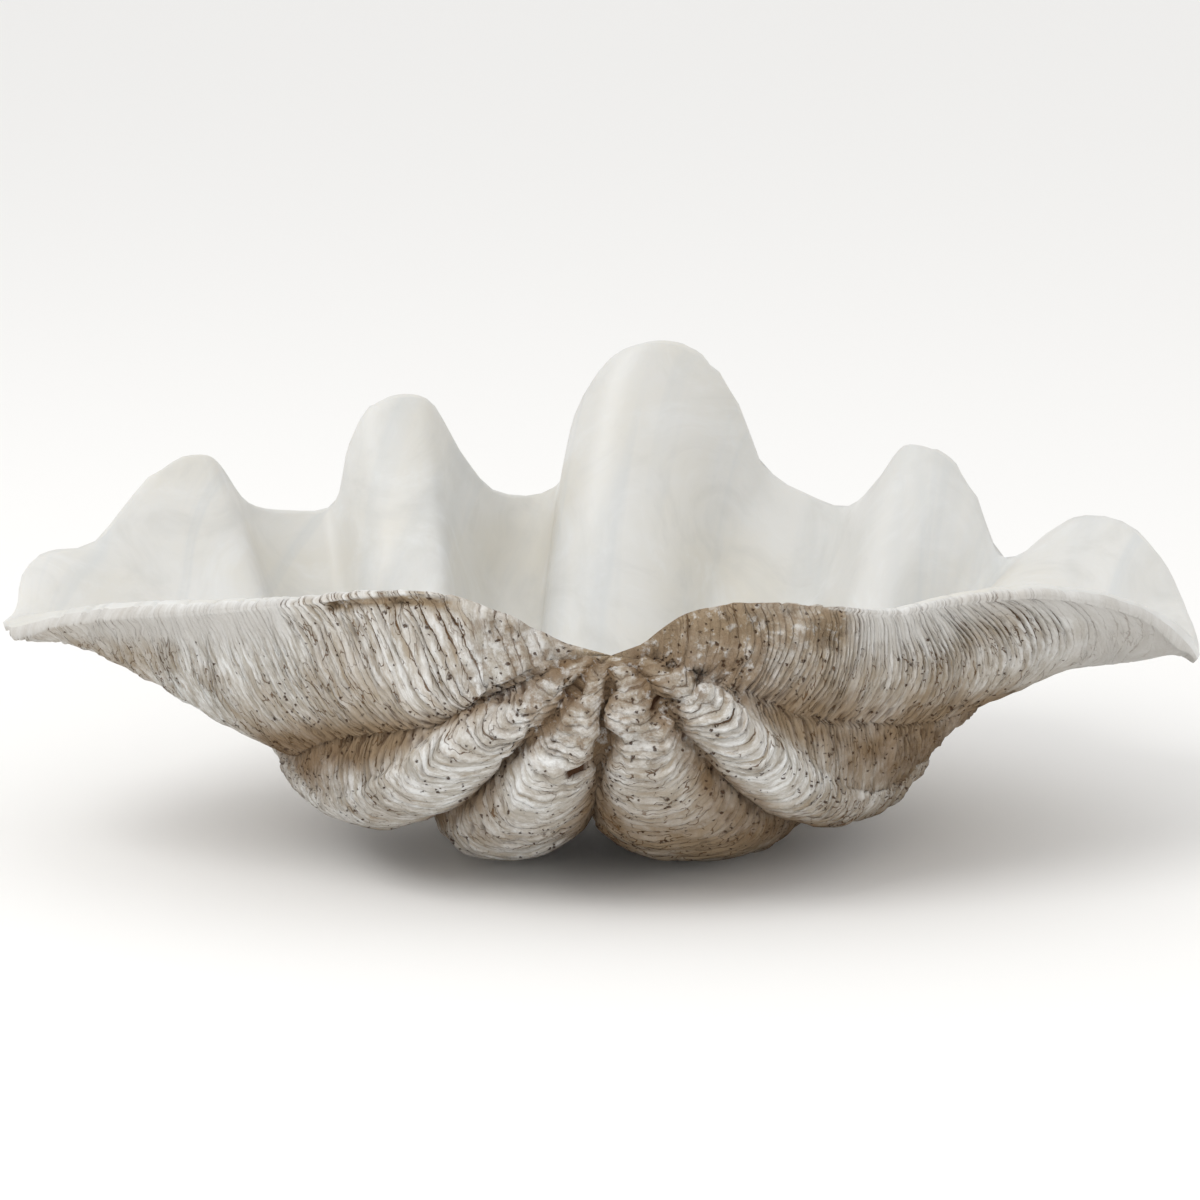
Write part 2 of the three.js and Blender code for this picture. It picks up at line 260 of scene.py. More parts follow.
# %% Inner face
CHUTE_START = 0.55  # age at which the inner face leaves the spiral


def inner(place, age):
    """Spiral surface near the lip, turning into straight lines down to the notch instead of curling under."""
    place, age = np.broadcast_arrays(np.asarray(place, float), np.asarray(age, float))
    left = np.clip((1 - age) / (1 - CHUTE_START), 0, 1)[..., None]

    def chute(k):
        return INNER_POLE + (base(k, np.full(np.shape(age), CHUTE_START)) - INNER_POLE) * left

    p = chute(place)
    for margin, end, _ in WINGS:
        edge = along(margin, spread(age, MARGIN_FLARE)) + INNER_POLE - POLE
        p = p + (edge - chute(np.full(age.shape, float(end)))) * fall(np.abs(place - end), 0, 5)[..., None]
    blend = rise(age, CHUTE_START, 0.25)[..., None]
    return base(place, age) * (1 - blend) + p * blend


print("left tip, inside", inner(0, 0.0).round(1), "outside", outer(0, 0.0).round(1))

# %% [markdown]
# ## Growth lines
# The outer face is built of overlapping layers, and each leaves a line where the lip once was. Drawing them
# as a picture would look printed, so the grid itself follows them: four rows of points to every layer, one
# in the foot of the step, one on its sharp edge and two down its back. Three things bend the lines away
# from equal age: each rib ran ahead of its grooves, so a line arches across it; the hinge margin keeps its
# own pace; and they wander.

# %% Line spacing
LINE_GAP_LIP, LINE_GAP_UMBO = 8.8, 5.8  # mm between lines
LEFT_WING, RIGHT_WING = 0, len(RIB_HEIGHT) - 1
LAG, WING_LAG = 4.2, 5.6   # how many lines a groove lags behind the crest of its rib or wing
LAG_POWER = 2.1            # how square the arch of a line over its rib is
MARGIN_LAG = (-0.45, 0.3)  # share of that lag at the hinge margin of each wing
WING_PACE = (0.27, 0.46)   # flare of the lines along the left and right margin

ages = np.linspace(0, 1, 4001)
crest_path = outer(place_of(np.full(ages.shape, 2), 0.5, ages), ages)
crest_length = length_to(crest_path)
gap = LINE_GAP_UMBO + (LINE_GAP_LIP - LINE_GAP_UMBO) * fall(ages, 0, 0.5)
line_number = np.r_[0, np.cumsum(np.diff(crest_length) / gap[1:])]
LINES = line_number[-1]
print(f"crest {crest_length[-1]:.0f} mm long, {LINES:.1f} growth lines")


def line_at(place, age):
    """Number of the growth line through a point: counted down the crest at the point's age, with a wing's age
    drawn to the pace of its margin, less a lag that grows as a power of the distance from the middle of the
    rib. The two wings count that distance from the middle of what there is of them, and towards their margins
    they take only a share of the lag. The lag fades in below the lip and out above the pole."""
    rib, across = rib_of(place, age)
    on_left, on_right = rib == LEFT_WING, rib == RIGHT_WING
    across = np.where(on_left, 2 * place / groove(LEFT_WING + 1, age) - 1, across)
    across = np.where(on_right, 1 - 2 * (LAST - place) / (LAST - groove(RIGHT_WING, age)), across)
    lag = np.where(on_left | on_right, WING_LAG, LAG) * np.abs(across) ** LAG_POWER
    lag = lag * np.where(on_left & (across < 0), MARGIN_LAG[0], 1)
    lag = lag * np.where(on_right & (across > 0), MARGIN_LAG[1], 1)
    paced = age
    for (_, end, width), pace in zip(WINGS, WING_PACE):
        margin_age = np.interp(spread(age, MARGIN_FLARE), spread(ages, pace)[::-1], ages[::-1])
        paced = paced + (1 - smooth(np.abs(place - end) / width)) * (margin_age - age)
    counted = np.interp(paced, ages, line_number)
    return counted - lag * rise(counted, 0, 12) * fall(counted, LINES - 24, 24)


def age_on_line(rib, share, wanted):
    """The age at which a column meets a growth line, found by halving the interval thirty times."""
    low, high = np.zeros(np.shape(wanted)), np.ones(np.shape(wanted))
    for _ in range(30):
        middle = (low + high) / 2
        before = line_at(place_of(rib, share, middle), middle) < wanted
        low, high = np.where(before, middle, low), np.where(before, high, middle)
    return (low + high) / 2


# %% [markdown]
# Nature is never even, so a repeatable random field is needed: a random value on each whole-number point of
# a lattice, joined smoothly in between. The same seed gives the same shell every time.


# %% Random fields
def scatter(cells, seed):
    """A random number from -1 to 1 for each whole-number cell, by mixing the bits of its coordinates."""
    primes = np.array([73856093, 19349663, 83492791], np.uint64)[:cells.shape[-1]]
    mixed = (cells.astype(np.int64).astype(np.uint64) * primes).sum(-1, dtype=np.uint64)
    mixed = mixed + np.uint64(seed * 6542989)
    for shift, factor in ((15, 2246822519), (13, 3266489917), (16, 668265263)):
        mixed = (mixed ^ (mixed >> np.uint64(shift))) * np.uint64(factor) & np.uint64(0xFFFFFFFF)
    return mixed.astype(float) / 0xFFFFFFFF * 2 - 1


def noise(*coordinates, seed=0):
    """Smooth random field, -1 to 1: random lattice values, blended by S-shaped steps along each axis."""
    points = np.stack(np.broadcast_arrays(*coordinates), -1).astype(float)
    cell = np.floor(points)
    blend = smooth(points - cell)
    total = np.zeros(points.shape[:-1])
    for corner in np.ndindex(*(2,) * points.shape[-1]):
        weight = np.prod(np.where(corner, blend, 1 - blend), axis=-1)
        total += weight * scatter(cell + np.array(corner), seed)
    return total


print("random field", noise(np.array([0.5, 1.5, 2.5]), np.array([0.5, 0.5, 0.5])).round(2))

# %% [markdown]
# ## The grid of the outer face
# Columns run from the lip to the pole and crowd towards the grooves, where the wall bends most. As the fan
# narrows, every second column ends, so the small triangles stay about as wide as they are long.

# %% Rows and columns
RIB_COLUMNS = (48, 60, 60, 64, 48, 24)       # their sum halves evenly four times
CROWDING = 0.09                              # how much the columns crowd towards the grooves
STEPS = np.array([0.0, 0.13, 0.45, 0.76])    # rows within a layer, as a share of it
LAYER = np.array([-0.65, 1.0, 0.42, -0.02])  # height of the layer at those rows

column_rib = np.r_[np.repeat(np.arange(len(RIB_COLUMNS)), RIB_COLUMNS), len(RIB_COLUMNS) - 1]
column_share = np.concatenate([np.arange(n) / n for n in RIB_COLUMNS] + [[1.0]])
column_share = column_share - CROWDING * np.sin(2 * np.pi * column_share)
columns = column_rib + column_share  # position of each column, counted in ribs
lip_places = place_of(column_rib, column_share, 0.0)
centre = sum(RIB_COLUMNS[:3])  # the column in the middle groove
whole = int(LINES - 0.5)
row_number = (np.arange(whole)[:, None] + STEPS).ravel()
row_step = np.tile(np.arange(len(STEPS)), whole)
print(len(columns), "columns,", len(row_number), "rows")

# %% Where each row crosses each column
number = np.broadcast_to(row_number[:, None], (len(row_number), len(columns)))
lip_length = length_to(outer(lip_places, 0.0))
rough_across = (lip_length - lip_length[centre]) * (1 - 0.85 * np.interp(number, line_number, ages))
wander = 0.62 * noise(rough_across / 46, number / 7, seed=1)
wander += 0.34 * noise(rough_across / 15, number / 2.5, seed=2)
wander += 0.11 * noise(rough_across / 5, number / 1.6, seed=6) + 0.3 * noise(number * 0.55, seed=15)
wander *= rise(number, 0, 3) * fall(number, LINES - 8, 8)
age = age_on_line(column_rib, column_share, number + wander)
age[0] = 0
place = place_of(column_rib, column_share, age)
outside = outer(place, age)
print("age grid", age.shape, "smallest step towards the pole:", np.diff(age, axis=0).min())

# %% [markdown]
# ## Relief
# The layers are not all alike: some are thick ledges where growth stopped for a season, some fade out half
# way across a rib. Under the tips the shell wore smooth and grey. Round the umbo, the oldest part, and down
# the right flank, boring animals and weather have turned the surface into knobbly crust; silt clings to it,
# and beside the left margin a strip has chipped away. Each of these is a field over the grid, from 0 to 1,
# and a field is a product of S-shaped steps in millimetres.


# %% Coordinates over the outer face
def mm_across(face, column):
    """Millimetres along each row of points from one column: the running sum of the steps between them."""
    steps = np.linalg.norm(np.diff(face, axis=1), axis=2)
    run = np.concatenate([np.zeros((len(face), 1)), np.cumsum(steps, axis=1)], 1)
    return run - run[:, column:column + 1]


across_mm = mm_across(outside, centre)
x_mm, z_mm = outside[..., 0], outside[..., 2]
rib, rib_across = rib_of(place, age)
print("outer face spans", across_mm.min().round(0), "to", across_mm.max().round(0), "mm at the lip")

# %% Calm places
edge_left, edge_right = across_mm - across_mm[:, :1], across_mm[:, -1:] - across_mm
to_margin = np.minimum(edge_left, edge_right)
tip_right = rise(x_mm, 215, 75) * rise(place, 33.6, 1.2)
tip_left = rise(-x_mm, 150, 30) * fall(edge_left, 8, 24) * (1 - 0.6 * rise(-x_mm, 255, 50))
tip_left = np.maximum(tip_left, 0.5 * rise(-x_mm, 280, 40))
under_right_rim = 0.85 * fall(edge_right, 8, 24) * rise(x_mm, 126, 22)
calm = np.clip(tip_right + tip_left + under_right_rim, 0, 1)
print("points on calm grey shell", int((calm > 0.5).sum()))


# %% Crust, dirt and chips
def lumpy(size, seed):
    """Random field over the outer face whose lumps are about this many millimetres wide, along x, y and z."""
    return noise(*np.moveaxis(outside / size, -1, 0), seed=seed)


UMBO_CRUST = (0.8, 1, 1.1)  # it reaches further across than down
to_umbo = np.linalg.norm((outside - POLE) * UMBO_CRUST, axis=-1)
flank = fall(edge_right, 0, 62) * rise(x_mm, 0, 25) * fall(x_mm, 110, 40)
chipped = rise(x_mm, -150, 8) * fall(x_mm, -84, 10) * rise(edge_left, 0.6, 1.2) * fall(edge_left, 5.5, 3.5)
dirty = rise(x_mm, 10, 12) * fall(x_mm, 128, 10) * fall(edge_right, 9, 14)
crust = 1.1 * fall(to_umbo, 40, 50) + 0.9 * flank + 0.8 * dirty + chipped
crust = np.clip(crust * (1 + 0.3 * lumpy(14, 5)), 0, 1)
print("points on crust", int((crust > 0.5).sum()), "and on the chipped strip", int((chipped > 0.5).sum()))

# %% Strength of the layers
RIB_STRENGTH = np.array([1.4, 1, 1, 1.25, 1.6, 1.35])  # how strongly each rib is layered
layer_index = np.floor(number)
season = rise(scatter(layer_index[..., None], 11), 0.35, 0.4)
strength = 0.58 + 0.6 * noise(across_mm / 30, layer_index * 0.9, seed=3)
strength += 0.32 * noise(across_mm / 8, number, seed=4)
strength = np.clip(strength + 0.6 * season, 0.03, 1.5) * (1 - 0.82 * calm) * (1 - 0.65 * crust)
strength *= (1 - 0.45 * np.abs(rib_across) ** 8) * RIB_STRENGTH[rib]
print("layer strength", strength.min().round(2), "to", strength.max().round(2))

# %% [markdown]
# Boring sponges and worms leave hollows of many sizes. Most are a pattern of their own: a lattice whose
# cells each hold one oval hollow or none. They crowd in the grooves, in the crust and under the shell, and
# two deeper cavities stand alone.


# %% Pits
def pits(u, v, size_u, size_v, share, radius, seed):
    """Oval hollows, deepest in the middle: each cell of a lattice may hold one at a random spot."""
    stray, stretch = 0.38, 1.5
    depth = np.zeros(u.shape)
    home = np.stack([np.floor(u / size_u), np.floor(v / size_v)], -1)
    for shift in np.ndindex(3, 3):
        cell = home + np.array(shift) - 1
        middle_u = (cell[..., 0] + 0.5 + stray * scatter(cell, seed)) * size_u
        middle_v = (cell[..., 1] + 0.5 + stray * scatter(cell, seed + 1)) * size_v
        wide = radius * (1 + 0.5 * scatter(cell, seed + 2))
        there = scatter(cell, seed + 3) < 2 * share - 1
        far = (((u - middle_u) / stretch) ** 2 + (v - middle_v) ** 2) / wide**2
        depth = np.maximum(depth, np.where(there, np.clip(1 - far, 0, 1), 0))
    return depth


def by_groove(width):
    """Bell curve of the distance to the nearest groove, counted in half ribs; it fades in below the lip."""
    return np.exp(-(((1 - np.abs(rib_across)) / width) ** 2)) * rise(age, 0, 0.2)


# %% Where the pits are
CAVITIES = ((-22, 519, 8.5, 4.6), (40, 556, 5.0, 3.2))  # mm across, mm down, half length, half width
CAVITY_DEPTH = 2                                        # in depths of a pit
along_mm = np.interp(number, line_number, crest_length)
in_groove, wide_groove_band = by_groove(0.16), by_groove(0.36)
# where borings gather: low down, along the grooves and on the crust; the outside material also paints a
# deeper shade from it
bored = np.clip(0.12 + 0.6 * fall(z_mm, 55, 60) + 0.7 * wide_groove_band + 0.5 * crust, 0, 1)
gathered = smooth(noise(across_mm / 38, along_mm / 30, seed=18) * 3 + 0.3)
groove_pits = 0.9 * pits(across_mm, along_mm, 8, 7, 0.5, 2.4, 31) * in_groove
pitted = pits(across_mm, along_mm, 11, 8, 0.36, 1.8, 21) * bored * gathered
pitted = np.maximum(pitted, groove_pits) * (1 - calm)
for u, v, half_u, half_v in CAVITIES:
    far = ((across_mm - u) / half_u) ** 2 + ((along_mm - v) / half_v) ** 2
    pitted = np.maximum(pitted, CAVITY_DEPTH * np.clip(1 - far, 0, 1))
print("points in pits", int((pitted > 0.2).sum()))

# %% Height of the relief
LAYER_HEIGHT, PIT_DEPTH, CHIP_DEPTH = 1.7, 2.4, 1.6  # mm
RIB_LEDGE = np.array([0.7, 1, 1, 1, 0.85, 0.8])      # how far the layers of each rib stand out
lumps = 1.1 * lumpy(44, 7) + 0.5 * lumpy(17, 8)
grit = 0.8 * lumpy(6.5, 9) + 0.5 * lumpy(3.2, 10)
knobs = 5.5 * lumpy((12, 10, 10), 14) + 3.6 * lumpy(6, 16)
ledge = LAYER_HEIGHT * RIB_LEDGE[rib] * (0.3 + 0.7 * rise(to_margin, 0, 7))
height = ledge * LAYER[row_step][:, None] * strength + 0.12 * grit
height += lumps * rise(to_margin, 0, 20) * rise(age, 0, 0.08)
height += (0.7 * grit + knobs) * crust * (0.35 + 0.65 * rise(to_margin, 0, 6))
height -= PIT_DEPTH * pitted + CHIP_DEPTH * chipped
height *= rise(1 - age, 0, 0.04)
print("relief", height.min().round(2), "to", height.max().round(2), "mm")

# %% Move the points
TIP_REACH, TIP_PULL = 22, 0.72  # mm; share of the wall that the corner moves in
slope_u, slope_v = np.gradient(outside, axis=1), np.gradient(outside, axis=0)
outward = unit(np.cross(slope_u, slope_v))
relief = outside + outward * height[..., None]
for end, column in ((0, 0), (LAST, -1)):  # the two tips wore round, like the end of a thumb
    corner = relief[0, column]
    near = np.exp(-(np.linalg.norm(relief - corner, axis=-1) / TIP_REACH) ** 2)
    relief = relief + (inner(end, 0.0) - corner) * TIP_PULL * near[..., None]
print("corners at", relief[0, 0].round(1), "and", relief[0, -1].round(1))

# %% [markdown]
# ## Sewing the skin
# All the strips of the skin, even where a wide row meets a narrow one, are sewn in the same way: walk both
# rows at once and make one triangle for every step of either.


# %% Strip
def strip(row_a, at_a, row_b, at_b):
    """Triangles between two rows of points, in the order in which their positions along the rows come."""
    steps = np.r_[at_a[1:], at_b[1:]]
    is_a = np.r_[np.ones(len(at_a) - 1, bool), np.zeros(len(at_b) - 1, bool)]
    order = np.argsort(steps, kind="stable")
    is_a = is_a[order]
    i, j = np.cumsum(is_a) - is_a, np.cumsum(~is_a) - ~is_a
    on_a = np.stack([row_a[i], row_a[np.minimum(i + 1, len(row_a) - 1)], row_b[j]], 1)
    on_b = np.stack([row_a[i], row_b[np.minimum(j + 1, len(row_b) - 1)], row_b[j]], 1)
    return np.where(is_a[:, None], on_a, on_b)


# %% Outer skin
HALVINGS = (700, 340, 150, 70)  # mm of row length at which every second column ends
row_length = across_mm[:, -1] - across_mm[:, 0]
level = sum((row_length < limit).astype(int) for limit in HALVINGS)
ids = np.arange(relief[..., 0].size).reshape(relief.shape[:2])
pole_id = ids.size
triangles = []
for r in range(len(row_number) - 1):
    here, there = slice(None, None, 2 ** level[r]), slice(None, None, 2 ** level[r + 1])
    triangles.append(strip(ids[r, here], columns[here], ids[r + 1, there], columns[there]))
here = slice(None, None, 2 ** level[-1])
triangles.append(strip(ids[-1, here], columns[here], np.array([pole_id]), np.array([0.0])))
outer_triangles = np.concatenate(triangles)
points = [relief.reshape(-1, 3), POLE[None]]
print("outer skin", len(outer_triangles), "triangles")

# %% Inner skin
INNER_ROWS = 60
inner_columns, inner_places = columns[::2], lip_places[::2]
inner_ages = (np.arange(INNER_ROWS) / INNER_ROWS) ** 1.4  # closer together near the lip
lining = inner(inner_places[None, :], inner_ages[:, None])
inner_ids = pole_id + 1 + np.arange(lining[..., 0].size).reshape(lining.shape[:2])
inner_pole_id = inner_ids.max() + 1
triangles = []
for r in range(len(inner_ages) - 1):
    triangles.append(strip(inner_ids[r + 1], inner_columns, inner_ids[r], inner_columns))
triangles.append(strip(np.array([inner_pole_id]), np.array([0.0]), inner_ids[-1], inner_columns))
inner_triangles = np.concatenate(triangles)
points += [lining.reshape(-1, 3), INNER_POLE[None]]
print("inner skin", len(inner_triangles), "triangles")

# %% [markdown]
# The edge between the two faces is a rounded bead. Its section is half an ellipse: across the wall it is as
# wide as the wall, and it stands a few millimetres proud. Nicks and worn places along it come from the
# random field.

# %% Edge bead
margin_at = np.r_[-1.0, -age[::-1, 0], lip_places[1:] / LAST, 1 + age[1:, -1], 2.0]
outer_rim = np.r_[pole_id, ids[::-1, 0], ids[0, 1:], ids[1:, -1], pole_id]
inner_at = np.r_[-1.0, -inner_ages[::-1], inner_places[1:] / LAST, 1 + inner_ages[1:], 2.0]
inner_rim = np.r_[inner_pole_id, inner_ids[::-1, 0], inner_ids[0, 1:], inner_ids[1:, -1], inner_pole_id]

keep = np.r_[0, np.arange(1, len(outer_rim) - 1, 2), len(outer_rim) - 1]
bead_at = margin_at[keep]
bead_place = LAST * np.clip(bead_at, 0, 1)
bead_age = np.maximum(-bead_at, 0) + np.maximum(bead_at - 1, 0)
near_points = np.concatenate(points)[outer_rim[keep]]
far_points = inner(bead_place, bead_age)
far_points[[0, -1]] = INNER_POLE
# the bead points away from a spot further in: 0.3 along the lip from a margin, and 0.01 older than the lip
inward = np.clip(bead_place, np.where(bead_at <= 0, 0.3, 0), np.where(bead_at >= 1, LAST - 0.3, LAST))
proud = unit(base(bead_place, bead_age) - base(inward, np.where(bead_age == 0, 0.01, bead_age)))
print("bead follows", len(keep), "points of the rim")

# %% Bead rings
ANGLES = np.radians([32, 62, 92, 122, 150])  # where the rings stand on the half ellipse
wear = 1 + 0.25 * noise(bead_at * 60, seed=12) - 0.5 * smooth(noise(bead_at * 170, seed=13) * 3 - 1.2)
at_tip = np.exp(-((np.minimum(bead_place, LAST - bead_place) / 1.5) ** 2)) * fall(bead_age, 0, 0.06)
push = BEAD * rise(1 - bead_age, 0, 0.2) * wear * (1 - 0.7 * at_tip)
middle, half = (near_points + far_points) / 2, (near_points - far_points) / 2
ring_ids, bead_strips, previous, previous_at = [], [], outer_rim, margin_at
next_id = inner_pole_id + 1
for angle in ANGLES:
    ring = middle + half * np.cos(angle) + proud * (push * np.sin(angle))[:, None]
    own = next_id + np.arange(len(keep) - 1)
    own = np.r_[own, own[0]]
    points.append(ring[:-1])
    bead_strips.append(strip(own, bead_at, previous, previous_at))
    previous, previous_at, next_id = own, bead_at, next_id + len(keep) - 1
    ring_ids.append(own[:-1])
bead_strips.append(strip(inner_rim, inner_at, previous, previous_at))
bead_triangles = np.concatenate(bead_strips)
print("bead", len(bead_triangles), "triangles")

# %% Into the part's frame
vertices = np.concatenate(points)
vertices = (vertices - (*MIDDLE, SEAT)) * 0.001
vertices[:, 2] = np.maximum(vertices[:, 2], 0)  # the lowest ribs are worn flat where the shell stands
faces = np.concatenate([outer_triangles, inner_triangles, bead_triangles])
used, faces = np.unique(faces, return_inverse=True)
faces = faces.reshape(-1, 3)
print("skin", len(used), "points,", len(faces), "triangles, size", np.ptp(vertices[used], axis=0).round(4))

# %% Is it closed?
edges = np.concatenate([faces[:, [0, 1]], faces[:, [1, 2]], faces[:, [2, 0]]])
forward = edges[:, 0] * len(used) + edges[:, 1]
backward = edges[:, 1] * len(used) + edges[:, 0]
closed = len(np.unique(forward)) == len(forward) and np.array_equal(np.sort(forward), np.sort(backward))
a, b, c = (vertices[used][faces[:, k]] for k in range(3))
litres = (np.einsum("ij,ij->i", a, np.cross(b, c)).sum() / 6) * 1000
print("every edge joins two triangles:", closed, "volume", round(litres, 3), "litres")

# %% [markdown]
# ## Fields for the materials
# The materials need to know more than a point's position. A map called `growth` holds millimetres across
# the rib and the number of the growth line, so a pattern can follow the layers exactly. Attributes carry
# the strength of the layers, the brown stain with the painted shade under the shell, the crust, the calm
# grey places, the pits, where small borings may come, and the clean rubbed edge.

# %% Attributes of the outer face
# painted shade: darker brown low under the shell, strongest right of the middle
painted_underside_shade = fall(z_mm, 30, 70) * (0.34 + 0.42 * rise(x_mm, -24, 80) - 0.3 * rise(x_mm, 100, 40))
# painted shade on the low flanks of the ribs right of the middle
painted_flank_shade = rise(np.abs(rib_across), 0.35, 0.6) * rise(x_mm, 0, 40) * fall(z_mm, 60, 60)
# the stain: silt on the crust, the flank, the dirty rim, the chipped strip, round the umbo and at the left
# tip, darker along the grooves, and the painted shade of the two fields above
stain_and_shade = 0.5 * in_groove + 0.55 * wide_groove_band + 0.9 * flank + painted_underside_shade + 0.6 * painted_flank_shade
stain_and_shade += 0.8 * dirty + 1.2 * chipped + 0.5 * fall(to_umbo, 30, 50) + 0.4 * rise(-x_mm, 225, 60)
rubbed_edge = 0.2 * np.exp(-to_margin / 2.0) * (1 - 0.9 * np.maximum(dirty, chipped))
outer_fields = {"strength": strength, "stain_and_shade": np.clip(stain_and_shade, 0, 1), "crust": crust, "calm": calm,
                "pit": pitted, "bored": bored * (1 - calm), "edge": rubbed_edge}
others = np.zeros(len(np.concatenate(points)) - ids.size)
fields = {name: np.r_[values.ravel(), others] for name, values in outer_fields.items()}
fields["stain_and_shade"][pole_id] = fields["crust"][pole_id] = 1
growth_uv = np.zeros((ids.size + len(others), 2))
growth_uv[:ids.size] = np.stack([across_mm, number], -1).reshape(-1, 2)
growth_uv[pole_id] = (0, LINES)
print("attributes", ", ".join(fields), "on", ids.size, "points")

# %% Map of the lining
lining_mm = mm_across(lining, centre // 2)
inner_percent = np.broadcast_to(inner_ages[:, None] * 100, lining_mm.shape)
growth_uv[pole_id + 1:inner_pole_id] = np.stack([lining_mm, inner_percent], -1).reshape(-1, 2)
growth_uv[inner_pole_id] = (0, 100)
print("lining is", np.ptp(lining_mm[0]).round(), "mm round the lip")

# %% Attributes of the bead
RING_RUBBED = (0.0, 0.25, 0.8, 1.0, 1.0)  # how clean each ring is rubbed, from the outside in
OUTER_RINGS = 3                           # these go with the outer face, the rest with the lining
rim_points = outer_rim[keep[:-1]]
soiled = np.interp(middle[:-1, 0], (8, 20, 118, 132), (0, 1, 1, 0)) * (bead_at[:-1] > 1)
worn = 0.92 * rise(np.abs(middle[:-1, 0]), 215, 55)
for k, own in enumerate(ring_ids):
    growth_uv[own] = growth_uv[rim_points] if k < OUTER_RINGS else growth_uv[inner_pole_id]
    for name in ("strength", "crust", "bored"):
        fields[name][own] = fields[name][rim_points] * (1 - 0.2 * k) * (1 - worn)
    fields["calm"][own] = np.maximum(fields["calm"][rim_points] * (1 - 0.2 * k), worn * (k < OUTER_RINGS))
    fields["stain_and_shade"][own] = soiled * (1 - 0.22 * k)
    fields["edge"][own] = RING_RUBBED[k] * (1 - 0.85 * fields["stain_and_shade"][own]) * (1 - 0.8 * worn)
print("bead places with crust", int((soiled > 0.5).sum()))

# %% Make the mesh
shell_mesh = bpy.data.meshes.new("clam_shell")
shell_mesh.from_pydata(vertices[used].tolist(), [], faces.tolist())
for name, values in fields.items():
    attribute = shell_mesh.attributes.new(name, "FLOAT", "POINT")
    attribute.data.foreach_set("value", values[used].astype(np.float32))
growth_map = shell_mesh.uv_layers.new(name="growth")
growth_map.data.foreach_set("uv", growth_uv[used][faces.ravel()].astype(np.float32).ravel())
chalky = sum(len(strip_of_bead) for strip_of_bead in bead_strips[:OUTER_RINGS])
lining_face = np.ones(len(faces), np.int32)  # 0 for the outside's material, 1 for the lining's
lining_face[:len(outer_triangles)] = 0
lining_face[len(faces) - len(bead_triangles):][:chalky] = 0
shell_mesh.polygons.foreach_set("material_index", lining_face)
shell_mesh.shade_smooth()
shell_mesh.update()
shell = bpy.data.objects.new("clam_shell", shell_mesh)
bpy.context.scene.collection.objects.link(shell)
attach(shell, "root")
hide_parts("shell")
print("piece", shell.name, len(shell_mesh.polygons), "triangles")

# %% [markdown]
# ## Materials
# A helper adds one node with its settings and its links, and another turns a colour as written for a screen
# into the linear light that the renderer works in. Two more write out the inputs that the patterns share.


# %% Node tools
def colour(code):
    """Linear RGBA of a screen colour: c / 12.92 up to 0.04045, above it ((c + 0.055) / 1.055) to the 2.4."""
    c = np.array([int(code[i:i + 2], 16) for i in (1, 3, 5)]) / 255
    return (*np.where(c <= 0.04045, c / 12.92, ((c + 0.055) / 1.055) ** 2.4), 1.0)


def add(tree, kind, inputs=None, **settings):
    """One shader node. Settings are its own properties; inputs maps a socket's name or number to a value, or
    to a node or socket that is linked to it."""
    made = tree.nodes.new("ShaderNode" + kind)
    for name, value in settings.items():
        setattr(made, name, value)
    for name, value in (inputs or {}).items():
        if isinstance(value, bpy.types.Node):
            value = value.outputs[0]
        if isinstance(value, bpy.types.NodeSocket):
            tree.links.new(value, made.inputs[name])
        else:
            made.inputs[name].default_value = value
    return made


def stretch(field, low, high, least=0.0, most=1.0):
    """Inputs that turn a field's values from low to high into least to most, along a straight line."""
    return {"Value": field, "From Min": low, "From Max": high, "To Min": least, "To Max": most}


def lumps_of(space, scale, detail, roughness=0.5, distortion=0.0):
    """Inputs of a random field: lumps to a unit of space, how many finer copies are added, how strong those
    are, and how twisted the field is."""
    finer = {"Detail": detail, "Roughness": roughness, "Distortion": distortion}
    return {"Vector": space, "Scale": scale, **finer}


def new_material(name):
    """A material with an empty node tree."""
    material = bpy.data.materials.new(name)
    material.use_nodes = True
    material.node_tree.nodes.clear()
    return material, material.node_tree


# settings that many nodes share
PRODUCT = {"operation": "MULTIPLY", "use_clamp": True}
SUM = {"operation": "ADD", "use_clamp": True}
TIMES_PLUS = {"operation": "MULTIPLY_ADD"}
SOFT_STEP = {"interpolation_type": "SMOOTHSTEP"}
print("tools ready, white is", colour("#ffffff"))

# %% [markdown]
# ### Chalky layered outside
# The outside is crossed-lamellar aragonite that has weathered: chalk white where it is rubbed, grey-beige
# elsewhere, with brown silt caught at the foot of every layer, on the crust and in thousands of small
# borings, darker brown along the grooves, and painted shade under the shell, on the low right flanks of
# the ribs and down the back of each layer. A picture of lines would slide off the relief, but the line
# number in the `growth` map puts a thin dark seam exactly in the foot of each step, at any closeness. It is
# dull and dry, so it scatters light almost evenly.

# %% Outside: coordinates
# the silt brown and the seam brown also serve as painted shade
CHALK, BONE, SILT_AND_SHADE_BROWN, SEAM_AND_SHADE_BROWN, BORING = "#e5e5e3", "#bab5ac", "#9b8970", "#5f401c", "#432810"
CALM_GREY, SOIL = "#bfbcb7", "#86725b"
outside_material, t = new_material("chalky_layered_aragonite")
growth = add(t, "UVMap", uv_map="growth")
position = add(t, "TexCoord").outputs["Object"]
attribute = {name: add(t, "Attribute", attribute_name=name).outputs["Fac"] for name in fields}
RAGGED_PER_METRE, RAGGED_LINES = 150.0, 0.55  # frayed every 7 mm, by half a layer in all
ragged = add(t, "TexNoise", lumps_of(position, RAGGED_PER_METRE, 4.0, 0.65))
split = add(t, "SeparateXYZ", {0: growth})
ragged_number = add(t, "Math", {0: ragged, 1: RAGGED_LINES, 2: split.outputs["Y"]}, **TIMES_PLUS)
